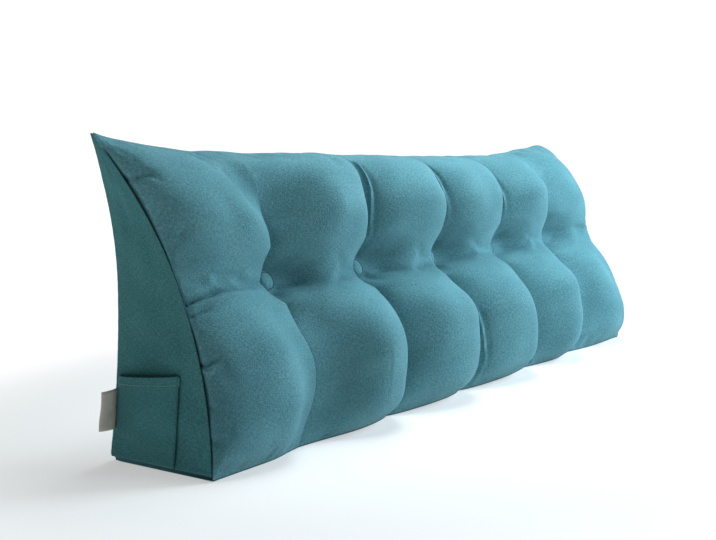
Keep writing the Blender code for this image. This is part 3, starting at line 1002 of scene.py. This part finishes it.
def side_surface(side, deep, up, foot):
    """An end's outer face: the wedge's end, crowned a little, from front seam to back seam."""
    x, height = place_on_wedge(np.full_like(up, COLUMNS if side > 0 else 0.0), up, foot, 0.0)
    front = seam_depth(up) + lean(x, up)
    back = back_depth(x, height, up)
    crown = SIDE_CROWN * 16 * deep * (1 - deep) * up * (1 - up)
    z = height - right_ear_drop(x) * up**8
    return np.stack([x + side * crown, lerp(front, back, deep), z], axis=-1)


def side_grid(side):
    """The end's cloth: its outer face, sunk at its seams, with slow waves and small ripples."""
    deep_lines = weighted_lines(56, lambda t: 1 + 5 * hill(t, 0.04) + 5 * hill(1 - t, 0.04))
    rows = weighted_lines(120, lambda t: 1 + 3 * hill(t, 0.02) + hill(1 - t, 0.02))
    deep, up = np.meshgrid(deep_lines, rows)
    grid = side_surface(side, deep, up, SIDE_FOOT)
    width = (grid[:, -1, 1] - grid[:, 0, 1])[:, None]
    height = up * EAR_HEIGHT
    to_seam = np.minimum(np.minimum(deep, 1 - deep) * width, height)
    wave = 0.0009 * np.sin(27 * height + 16 * deep + side)
    wave += 0.0006 * np.sin(61 * height - 9 * deep)
    ripple = 0.0004 * np.sin(310 * height + 2 * np.sin(70 * height)) * hill(to_seam - 0.007, 0.006)
    grid[..., 0] += side * ((wave * soft_step(to_seam / 0.03)) + ripple - roll(to_seam))
    # The second result is painted shade along the end's seams
    return settle(grid), hill(to_seam, SEAM_LINE) * soft_step((SEAM_FADE - up) / 0.05)


def make_side(name, side, node):
    """One end; the right end's columns run the other way, so that both face outwards."""
    grid, seam = side_grid(side)
    if side < 0:
        grid = grid[:, ::-1]
        seam = seam[:, ::-1]
    cloth = make_sheet(name, grid, shaded_panel_chenille, seam)
    declare_cloth(thicken(cloth), node)


make_side("side_cloth_left", -1, "side_panel_left")
make_side("side_cloth_right", 1, "side_panel_right")


# %% The back
BACK_SLACK = 0.0016


def back_grid():
    """The back's cloth: its outer face, sunk at its seams, with slow waves across it."""
    shares = weighted_lines(150, lambda t: 1 + 4 * hill(t, 0.01) + 4 * hill(1 - t, 0.01))
    rows = weighted_lines(70, lambda t: 1 + 3 * hill(t, 0.02) + 3 * hill(1 - t, 0.02))
    along, up = np.meshgrid(COLUMNS * shares, rows)
    grid = back_surface(along, up, 0.0, SIDE_FOOT)
    x = grid[..., 0]
    z = grid[..., 2]
    to_seam = np.minimum(
        np.minimum(along, COLUMNS - along) * COLUMN_PITCH,
        np.minimum(up, 1 - up) * MIDDLE_HEIGHT,
    )
    wave = BACK_SLACK * np.sin(11 * x + 5 * z) + 0.0010 * np.sin(23 * x - 19 * z + 1.1)
    ripple = 0.0006 * np.sin(150 * x + 2 * np.sin(31 * x)) * hill(to_seam - 0.010, 0.010)
    grid[..., 1] += (wave - BACK_SLACK) * soft_step(to_seam / 0.05) + ripple - roll(to_seam)
    # The second result is painted shade along the back's seams
    return settle(grid)[:, ::-1], hill(to_seam, SEAM_LINE)[:, ::-1]


grid, seam = back_grid()
back_cloth = thicken(make_sheet("back_cloth", grid, shaded_panel_chenille, seam))
declare_cloth(back_cloth, "back_panel")


# %% [markdown]
# ## The base
#
# The base cloth carries the weight, so it is flat in the middle, and its edge curls up a few
# millimetres to meet the ends and the back. On the real pillow that shows as a darker band below
# the side seam. A tray does it: a flat sheet whose rim climbs a quarter circle.

# %% Base cloth
RIM = 0.0070
FRONT_RIM = 0.0024
BASE_TUCK = 0.0012


def base_grid():
    """A flat tray: its rim rises by a quarter circle and ends tucked a little inwards."""
    shares = weighted_lines(200, lambda t: 1 + 9 * hill(t, 0.006) + 9 * hill(1 - t, 0.006))
    deep_lines = weighted_lines(44, lambda t: 1 + 9 * hill(t, 0.05) + 9 * hill(1 - t, 0.05))
    along, deep = np.meshgrid(COLUMNS * shares, deep_lines)
    foot = np.zeros_like(along)
    front_edge = front_surface(along, foot, relief(along, foot))
    x = front_edge[..., 0]
    front = front_edge[..., 1]
    y = lerp(front, BACK_DEPTH, deep)
    end = BASE_HALF_LENGTH - BASE_TUCK - np.abs(x)
    to_end = np.minimum(end, BACK_DEPTH - y)
    share = np.clip(1 - to_end / RIM, 0, 1)
    climb = RIM * (1 - np.sqrt(np.maximum(1 - share**2, 0)))
    share = np.clip(1 - (y - front) / FRONT_RIM, 0, 1)
    climb_front = FRONT_RIM * (1 - np.sqrt(np.maximum(1 - share**2, 0)))
    z = np.maximum(climb, climb_front)
    grid = np.stack([x, y, z], axis=-1)
    grid[..., 0] *= 1 - BASE_TUCK * soft_step(z / RIM) / BASE_HALF_LENGTH
    to_rim = np.minimum(np.minimum(end + RIM - z, y - front + FRONT_RIM - z), BACK_DEPTH - y)
    # The second result is painted shade along the rim's seams
    return settle(grid)[::-1], hill(to_rim, SEAM_LINE)[::-1]


grid, seam = base_grid()
base_cloth = thicken(make_sheet("base_cloth", grid, shaded_panel_chenille, seam), CLOTH)
declare_cloth(base_cloth, "base_panel")


# %% [markdown]
# ## The pocket
#
# A patch of the same cloth is sewn to the left end at its front edge and foot, caught in the back
# seam, and left open at the top, where its hem is turned down inside and stitched. The hand goes
# in from above, so the mouth stands a little off the end. A copy of the end moved outwards would
# have no mouth, so the pocket is its own sheet, and the hem is that sheet carried over the mouth.

# %% Sizes of the pocket
POCKET_FRONT = -0.026
POCKET_BACK = 0.0945
POCKET_HEIGHT_BACK = 0.125
POCKET_HEIGHT_FRONT = 0.137
POCKET_FOOT = 0.008
POCKET_GAPE = 0.015
POCKET_HEM = 0.012
POCKET_RISE = 0.8
POCKET_ACROSS = 0.6
# How far the pocket stands off the end, and how much of that its seams press flat
POCKET_STAND = 0.0026
POCKET_PRESS = 0.0022
POCKET_SAG = 0.0010
POCKET_CELLS = 60
HEM_FOLD = 0.0011
HEM_CLOSE = 0.002
POCKET_THICKNESS = 0.0009
print("pocket mouth:", round(POCKET_BACK - POCKET_FRONT, 4), "m wide")


# %% Pocket cloth
def wall_x(y, height):
    """X of the left end's outer face at a depth and a height."""
    up = np.clip((height - GAP) / (top_height(np.array(-EAR_HALF_LENGTH)) - GAP), 0, 1)
    deep = np.clip((y - seam_depth(up)) / (BACK_DEPTH - seam_depth(up)), 0, 1)
    return side_surface(-1, deep, up, GAP)[..., 0]


def pocket_surface(share, rise, off):
    """The pocket's face: off the wall by a gape that grows upwards and towards the middle."""
    y = lerp(POCKET_FRONT, POCKET_BACK, share)
    mouth = lerp(POCKET_HEIGHT_FRONT, POCKET_HEIGHT_BACK, share)
    height = lerp(POCKET_FOOT, mouth, rise)
    across = np.maximum(np.sin(np.pi * share), 0) ** POCKET_ACROSS
    gape = POCKET_GAPE * np.clip(rise, 0, 1) ** POCKET_RISE * across
    return np.stack([wall_x(y, height) - off - gape, y, height], axis=-1)


def pocket_grid():
    """Rows up the outside, over the mouth in a half circle, and down inside for the hem."""
    shares = weighted_lines(POCKET_CELLS, lambda t: 1 + 5 * hill(t, 0.05) + 3 * hill(1 - t, 0.05))
    rises = weighted_lines(56, lambda t: 1 + 4 * hill(t, 0.03) + 3 * hill(1 - t, 0.1))
    share, rise = np.meshgrid(shares, rises)
    to_side = np.minimum(share, 1 - share) * (POCKET_BACK - POCKET_FRONT)
    low = rise * (POCKET_HEIGHT_BACK - POCKET_FOOT)
    pressed = POCKET_PRESS * hill(np.minimum(to_side, low), 0.0014)
    outer_off = 2 * GAP + POCKET_STAND - pressed
    sag = POCKET_SAG * np.sin(9 * share + 7 * rise) * np.sin(np.pi * share) * rise
    outer = pocket_surface(share, rise, outer_off + sag)
    turn = np.linspace(0, np.pi, 7)[1:-1]
    half_circle = HEM_FOLD * np.stack([1 - np.cos(turn), 0 * turn, np.sin(turn)], axis=-1)
    opened = np.minimum(1, to_side[-1] / HEM_CLOSE)
    over = outer[-1][None] + half_circle[:, None, :] * opened[None, :, None]
    drop = np.linspace(0, POCKET_HEM, 7)
    inside_rise = 1 - drop / (POCKET_HEIGHT_BACK - POCKET_FOOT)
    share_in, rise_in = np.meshgrid(shares, inside_rise)
    off_in = outer_off[-1][None] - 2 * HEM_FOLD * opened[None]
    inner = pocket_surface(share_in, rise_in, off_in)
    grid = settle(np.concatenate([outer, over, inner]))
    seam = np.zeros(grid.shape[:2])
    # Painted shade along the pocket's sides and foot, where it is sewn
    seam[: len(outer)] = np.maximum(hill(to_side, SEAM_LINE), hill(low, SEAM_LINE))
    return grid[:, ::-1], seam[:, ::-1], outer


grid, seam, pocket_outer = pocket_grid()
pocket_cloth = thicken(make_sheet("pocket_cloth", grid, shaded_panel_chenille, seam), POCKET_THICKNESS)


# %% [markdown]
# ## Topstitching
#
# The hem is held by one row of stitches, a little lighter than the cloth. A line of colour would
# do from far away, but a stitch is a small raised capsule with a gap to the next, and it casts
# its own shadow. One capsule is worked out once and carried along the row as a whole array.

# %% Sizes of the stitches, and their thread
STITCH_LENGTH = 0.0030
STITCH_PITCH = 0.0038
STITCH_RADIUS = 0.00045
STITCHES_BELOW_MOUTH = 0.011
# The thread's twist: noise cells of about a millimetre
TWIST_SCALE = 900.0


def polyester_thread():
    """Polyester sewing thread, spun and dyed to match: smooth, with a low soft gloss."""
    material = new_material("polyester_thread")
    tree = material.node_tree
    place = add_node(tree, "ShaderNodeTexCoord").outputs["Object"]
    twist = add_node(
        tree, "ShaderNodeTexNoise", {"Vector": place, "Scale": TWIST_SCALE, "Detail": 1.0}
    )
    colour = add_node(
        tree,
        "ShaderNodeMix",
        {"Factor": twist.outputs["Fac"], 6: linear("#6f9c9a"), 7: linear("#8fb8b4")},
        data_type="RGBA",
    ).outputs[2]
    shader = add_node(
        tree, "ShaderNodeBsdfPrincipled", {"Base Color": colour, "Roughness": 0.55}
    )
    add_node(tree, "ShaderNodeOutputMaterial", {"Surface": shader.outputs["BSDF"]})
    return material


# %% Sewing a row of stitches
def stitch_row(name, line, outward, material):
    """Capsules along a line: rings whose radius follows a half circle, arched at mid stitch."""
    line = np.asarray(line)
    steps = np.linalg.norm(np.diff(line, axis=0), axis=1)
    along = np.append(0, np.cumsum(steps))
    count = int(along[-1] / STITCH_PITCH)
    starts = (along[-1] - count * STITCH_PITCH) / 2 + np.arange(count) * STITCH_PITCH
    rings = np.linspace(0.02, 0.98, 7)
    turns = np.linspace(0, 2 * np.pi, 8, endpoint=False)
    at = starts[:, None] + rings[None, :] * STITCH_LENGTH
    centre = np.stack([np.interp(at, along, line[:, axis]) for axis in range(3)], axis=-1)
    direction = np.gradient(centre, axis=1)
    direction /= np.linalg.norm(direction, axis=-1, keepdims=True)
    outward = outward / np.linalg.norm(outward)
    beside = np.cross(direction, outward)
    beside /= np.linalg.norm(beside, axis=-1, keepdims=True)
    upward = np.cross(beside, direction)
    radius = STITCH_RADIUS * np.sqrt(np.maximum(1 - (2 * rings - 1) ** 4, 0.02))
    arch = 0.5 * STITCH_RADIUS * np.sin(np.pi * rings)
    points = (
        centre[:, :, None]
        + upward[:, :, None]
        * (arch[:, None, None] + radius[:, None, None] * np.sin(turns)[:, None])
        + beside[:, :, None] * radius[:, None, None] * np.cos(turns)[:, None]
    )
    size = len(rings) * len(turns)
    quads = grid_faces(len(rings), len(turns), close_columns=True)[:, ::-1]
    caps = [list(range(len(turns))), list(range(size - len(turns), size))[::-1]]
    faces = []
    for number in range(count):
        faces += (quads + number * size).tolist()
        faces += [[corner + number * size for corner in cap] for cap in caps]
    corners = sum(len(face) for face in faces)
    no_map = np.zeros((corners, 2))
    return build_mesh(name, points, faces, no_map, np.zeros(count * size), material)


thread = polyester_thread()
middle_heights = pocket_outer[:, POCKET_CELLS // 2, 2]
wanted = middle_heights[-1] - STITCHES_BELOW_MOUTH
hem_row = int(np.argmin(np.abs(middle_heights - wanted)))
hem_line = pocket_outer[hem_row, 2:-2] - np.array([GAP, 0, 0])
pocket_stitches = stitch_row("pocket_stitches", hem_line, np.array([-1.0, 0, 0]), thread)
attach(pocket_stitches, "root")
declare_cloth(
    pocket_cloth, "pocket"
)


# %% [markdown]
# ## The covered buttons
#
# Each button is a metal shell with a disc of the front cloth gathered over it, sewn through the
# filling. A squashed sphere would be quicker, but the rolled rim is what the eye knows it by. So a
# profile is carried round an axis that stands square on the tuft: a shallow dome, the rim, and a
# short skirt that goes into the dimple.

# %% Buttons
# Outline from the middle of the dome to the skirt: radius and height in metres
BUTTON_RADII = np.array([0.0, 0.3, 0.55, 0.74, 0.84, 0.90, 0.955, 0.99, 1.0, 0.985, 0.94, 0.86])
BUTTON_HEIGHTS = np.array(
    [0.0088, 0.0086, 0.0078, 0.0064, 0.0051, 0.0052, 0.0060, 0.0052, 0.0034, 0.0018, 0.0006, 0.0]
)
RIM_GATHER = 0.006
OUT_OF_ROUND = 0.004


def button_axes(number):
    """The seat of a button on the smooth front, and its outward, sideways and upward ways."""
    step = SEAT_RADIUS / 2 / MIDDLE_HEIGHT
    along = np.full(3, float(number))
    up = np.array([BUTTON_SHARE - step, BUTTON_SHARE, BUTTON_SHARE + step])
    below, seat, above = front_surface(along, up, relief(along, up))
    outward = np.cross(np.array([1.0, 0, 0]), above - below)
    outward /= np.linalg.norm(outward)
    sideways = np.array([1.0, 0, 0])
    return seat + outward * BUTTON_GAP, outward, sideways, np.cross(outward, sideways)


def make_button(number):
    """The profile turned once round, with fine gathers in the rim where the cloth is pulled in."""
    seat, outward, sideways, upward = button_axes(number)
    fine = np.linspace(0, 1, 30)
    places = np.linspace(0, 1, len(BUTTON_RADII))
    radii = np.interp(fine, places, BUTTON_RADII) * (BUTTON_RADIUS - GAP)
    heights = np.interp(fine, places, BUTTON_HEIGHTS)
    turns = np.linspace(0, 2 * np.pi, 64, endpoint=False)
    radius, turn = np.meshgrid(radii[1:], turns, indexing="ij")
    height = np.broadcast_to(heights[1:, None], radius.shape)
    outer = soft_step((radius / BUTTON_RADIUS - 0.8) / 0.2)
    gathers_round = RIM_GATHER * outer * np.sin(22 * turn + number)
    wobble = 1 + gathers_round + OUT_OF_ROUND * np.sin(3 * turn + 2 * number)
    flat_x = radius * wobble * np.cos(turn)
    flat_y = radius * wobble * np.sin(turn)
    rings = (
        seat
        + flat_x[..., None] * sideways
        + flat_y[..., None] * upward
        + height[..., None] * outward
    )
    tip = seat + heights[0] * outward
    points = np.concatenate([rings.reshape(-1, 3), tip[None], seat[None]])
    count = len(turns)
    quads = grid_faces(len(radii) - 1, count, close_columns=True)[:, ::-1]
    first = np.arange(count)
    after = (first + 1) % count
    tip_number = len(points) - 2
    last = (len(radii) - 2) * count
    cap = np.stack([np.full(count, tip_number), first, after], axis=-1)
    foot = np.stack([np.full(count, tip_number + 1), last + after, last + first], axis=-1)
    faces = [*quads.tolist(), *cap.tolist(), *foot.tolist()]
    flat = np.stack([flat_x.ravel(), flat_y.ravel()], axis=-1)
    flat = np.concatenate([flat, np.zeros((2, 2))]) + 0.31 * number
    order = np.concatenate([np.ravel(face) for face in (quads, cap, foot)])
    # Painted shade: the cloth darkens in the groove inside the rim, at the foot where the button
    # sinks into its dimple, and at the seat
    groove_shade = 0.9 * hill(radius / BUTTON_RADIUS - 0.85, 0.05) + hill(height, 0.0030)
    seam = np.concatenate([np.clip(groove_shade, 0, 1).ravel(), [0, 1]])
    button = build_mesh(f"button_cover_{number}", points, faces, flat[order], seam, front_chenille)
    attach(button, "root")
    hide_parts(f"button_{number}")


for button_number in range(1, BUTTON_COUNT + 1):
    make_button(button_number)


# %% [markdown]
# ## The woven tape
#
# A short satin tape is folded in half and caught in the back left seam, so two layers stand out
# of it. It is bare here. One flat card would do from far away, but the fold never lies quite
# flat, so a thin folded section is carried up the seam, a little wider at its fold.

# %% Sizes and satin of the tape
LABEL_LOW = 0.048
LABEL_HIGH = 0.108
LABEL_REACH = 0.032
LABEL_DEPTH = 0.0975
LABEL_CURL = 0.003
LABEL_HALF_GAP = 0.0006
LABEL_THICKNESS = 0.0003
LABEL_BAND = 0.75
# A wave's ribs lie 2 pi / (20 x scale) metres apart: 1.2 mm here, and the blotches are 14 mm wide
RIB_SCALE = 260.0
BLOTCH_SCALE = 70.0


def satin_tape():
    """Woven polyester satin: fine ribs across the tape, a soft gloss, and warm pale yarns."""
    material = new_material("satin_tape")
    tree = material.node_tree
    metres = add_node(tree, "ShaderNodeUVMap", uv_map="cloth_metres").outputs["UV"]
    ribs = add_node(
        tree,
        "ShaderNodeTexWave",
        {"Vector": metres, "Scale": RIB_SCALE, "Distortion": 1.5, "Detail": 2.0},
        bands_direction="Y",
    )
    blotch = add_node(
        tree, "ShaderNodeTexNoise", {"Vector": metres, "Scale": BLOTCH_SCALE, "Detail": 3.0}
    )
    shade = add_node(
        tree,
        "ShaderNodeMix",
        {"Factor": 0.7, "A": ribs.outputs["Fac"], "B": blotch.outputs["Fac"]},
    ).outputs["Result"]
    ramp = add_node(tree, "ShaderNodeValToRGB", {"Fac": shade})
    ramp.color_ramp.elements[0].position = 0.3
    ramp.color_ramp.elements[0].color = linear("#c4baab")
    ramp.color_ramp.elements[1].position = 0.7
    ramp.color_ramp.elements[1].color = linear("#f0ebe0")
    outer_band = add_node(tree, "ShaderNodeAttribute", attribute_name="seam").outputs["Fac"]
    colour = add_node(
        tree,
        "ShaderNodeMix",
        {"Factor": outer_band, 6: ramp.outputs["Color"], 7: linear("#cfcac0")},
        data_type="RGBA",
    ).outputs[2]
    bump = add_node(
        tree, "ShaderNodeBump", {"Height": ribs.outputs["Fac"], "Strength": 0.4, "Distance": 0.0003}
    )
    shader = add_node(
        tree,
        "ShaderNodeBsdfPrincipled",
        {
            "Base Color": colour,
            "Roughness": 0.6,
            "Normal": bump.outputs["Normal"],
        },
    )
    add_node(tree, "ShaderNodeOutputMaterial", {"Surface": shader.outputs["BSDF"]})
    return material


# %% Label tape
def label_grid():
    """A flat loop, out along one layer and back along the other, and how far its outer band is."""
    out = np.linspace(0, 1, 14)
    gap = LABEL_HALF_GAP * (0.5 + 1.6 * out**2) * np.sqrt(np.maximum(1 - out**12, 0))
    loop_out = np.concatenate([out, out[-2::-1]])
    loop_gap = np.concatenate([-gap, gap[-2::-1]])
    rise, position = np.meshgrid(np.linspace(0, 1, 13), np.arange(len(loop_out)), indexing="ij")
    out_here = loop_out[position]
    lift = 0.004 * out_here * (rise - 0.3)
    height = lerp(LABEL_LOW, LABEL_HIGH, rise) - lift
    base_x = wall_x(np.full_like(height, LABEL_DEPTH), height) - GAP
    curl = LABEL_CURL * np.sin(np.pi * out_here) + 0.0008 * np.sin(7 * rise + 3 * out_here)
    x = base_x - LABEL_REACH * out_here
    y = LABEL_DEPTH - curl + loop_gap[position]
    outer_band = LABEL_BAND * soft_step((out_here - 0.45) / 0.1)
    return np.stack([x, y, height], axis=-1), outer_band


grid, outer_band = label_grid()
label_tape = make_sheet("label_tape", grid, satin_tape(), outer_band)
thicken(label_tape, LABEL_THICKNESS)
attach(label_tape, "root")
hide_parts("label")


# %% [markdown]
# ## Floor, light and camera
#
# The pillow stands on a plain pale floor in a bright white room. A soft light at the front right
# gives the round columns their light right flanks and dark left ones, one above lights their
# shoulders, and a weak one at the back left keeps the end from going black. A sun would do for the
# shape, but its hard shadows would hide the weave. The camera stands at the left end, where the
# pocket is seen.

# %% Floor
FLOOR_FADE_REACH = (1.55, 1.0)
FLOOR_FADE_START = 0.55
FLOOR_FADE_END = 1.0
# Even near the pillow part of the floor glows: painted light that lightens the floor and its shadow
FLOOR_NEAR_GLOW = 0.4
FLOOR_GLOW = 1.1
FLOOR_LEVEL = -0.0002


def pale_floor():
    """A matt white board floor that glows a little near the pillow, which lightens its shadow, and
    turns into the white of the room as it gets further away.
    """
    material = new_material("pale_floor")
    tree = material.node_tree
    place = add_node(tree, "ShaderNodeTexCoord").outputs["Object"]
    noise = add_node(tree, "ShaderNodeTexNoise", {"Vector": place, "Scale": 0.7, "Detail": 2.0})
    colour = add_node(
        tree,
        "ShaderNodeMix",
        {"Factor": noise.outputs["Fac"], 6: linear("#f0f0f0"), 7: linear("#f4f4f4")},
        data_type="RGBA",
    ).outputs[2]
    shader = add_node(
        tree, "ShaderNodeBsdfPrincipled", {"Base Color": colour, "Roughness": 0.9}
    )
    squeezed = add_node(
        tree,
        "ShaderNodeVectorMath",
        {0: place, 1: (1 / FLOOR_FADE_REACH[0], 1 / FLOOR_FADE_REACH[1], 1.0)},
        operation="MULTIPLY",
    ).outputs["Vector"]
    distance = add_node(
        tree, "ShaderNodeVectorMath", {0: squeezed}, operation="LENGTH"
    ).outputs["Value"]
    far = add_node(
        tree,
        "ShaderNodeMapRange",
        {
            "Value": distance,
            "From Min": FLOOR_FADE_START,
            "From Max": FLOOR_FADE_END,
            "To Min": FLOOR_NEAR_GLOW,
        },
        interpolation_type="SMOOTHSTEP",
    ).outputs["Result"]
    glow = add_node(tree, "ShaderNodeEmission", {"Strength": FLOOR_GLOW})
    both = add_node(
        tree,
        "ShaderNodeMixShader",
        {"Fac": far, 1: shader.outputs["BSDF"], 2: glow.outputs["Emission"]},
    )
    add_node(tree, "ShaderNodeOutputMaterial", {"Surface": both.outputs["Shader"]})
    return material


FLOOR_HALF = 30.0
floor_mesh = bpy.data.meshes.new("floor")
floor_corners = [(-1, -1), (1, -1), (1, 1), (-1, 1)]
floor_points = [(x * FLOOR_HALF, y * FLOOR_HALF, FLOOR_LEVEL) for x, y in floor_corners]
floor_mesh.from_pydata(floor_points, [], [(0, 1, 2, 3)])
floor_mesh.materials.append(pale_floor())
floor = bpy.data.objects.new("floor", floor_mesh)
bpy.context.scene.collection.objects.link(floor)
print("floor:", 2 * FLOOR_HALF, "m wide")


# %% Lights
def area_light(name, place, target, width, height, watts, colour, spread=180):
    """A soft rectangular light at a place, facing a target, with its spread in degrees."""
    light = bpy.data.lights.new(name, "AREA")
    light.shape = "RECTANGLE"
    light.size = width
    light.size_y = height
    light.energy = watts
    light.spread = math.radians(spread)
    light.color = linear(colour)[:3]
    lamp = bpy.data.objects.new(name, light)
    lamp.location = place
    lamp.rotation_euler = (Vector(target) - Vector(place)).to_track_quat("-Z", "Y").to_euler()
    bpy.context.scene.collection.objects.link(lamp)
    return lamp


area_light("key_light", (1.40, -1.30, 1.05), (0.20, 0.0, 0.25), 0.9, 0.8, 26, "#dcf2ff", 110)
area_light("top_light", (0.10, 0.05, 1.75), (0.15, 0.0, 0.2), 1.3, 0.7, 16, "#eefaff", 120)
area_light("left_light", (-1.4, 0.5, 1.6), (-0.5, 0.0, 0.3), 1.0, 1.0, 4, "#f6fffa")


# %% The room
ROOM_DIM = 0.03
ROOM_BRIGHT = 1.05
BRIGHT_WAY = (0.823, 0.565, 0.05)
BRIGHT_CONE = (0.80, 0.90)


def white_room():
    """A white room: a bright wall behind the pillow, in a cone about one way, and dim elsewhere."""
    world = bpy.data.worlds.new("white_room")
    world.use_nodes = True
    tree = world.node_tree
    tree.nodes.clear()
    way = add_node(tree, "ShaderNodeTexCoord").outputs["Generated"]
    towards = add_node(
        tree, "ShaderNodeVectorMath", {0: way, 1: BRIGHT_WAY}, operation="DOT_PRODUCT"
    ).outputs["Value"]
    level = add_node(
        tree,
        "ShaderNodeMapRange",
        {
            "Value": towards,
            "From Min": BRIGHT_CONE[0],
            "From Max": BRIGHT_CONE[1],
            "To Min": ROOM_DIM,
            "To Max": ROOM_BRIGHT,
        },
        interpolation_type="SMOOTHSTEP",
    ).outputs["Result"]
    light = add_node(
        tree, "ShaderNodeBackground", {"Color": (1.0, 1.0, 1.0, 1.0), "Strength": level}
    )
    add_node(tree, "ShaderNodeOutputWorld", {"Surface": light.outputs["Background"]})
    return world


bpy.context.scene.world = white_room()
bpy.context.scene.view_settings.view_transform = "Standard"

# %% Camera
camera_data = bpy.data.cameras.new("camera")
camera_data.lens = 55.94
camera_data.sensor_width = 36.0
camera = bpy.data.objects.new("camera", camera_data)
camera.location = (-1.8486, -1.0955, 0.446)
camera.rotation_euler = (math.radians(84.059), 0.0, math.radians(-55.56))
bpy.context.scene.collection.objects.link(camera)
bpy.context.scene.camera = camera
print("camera:", camera_data.lens, "mm lens at", tuple(camera.location))
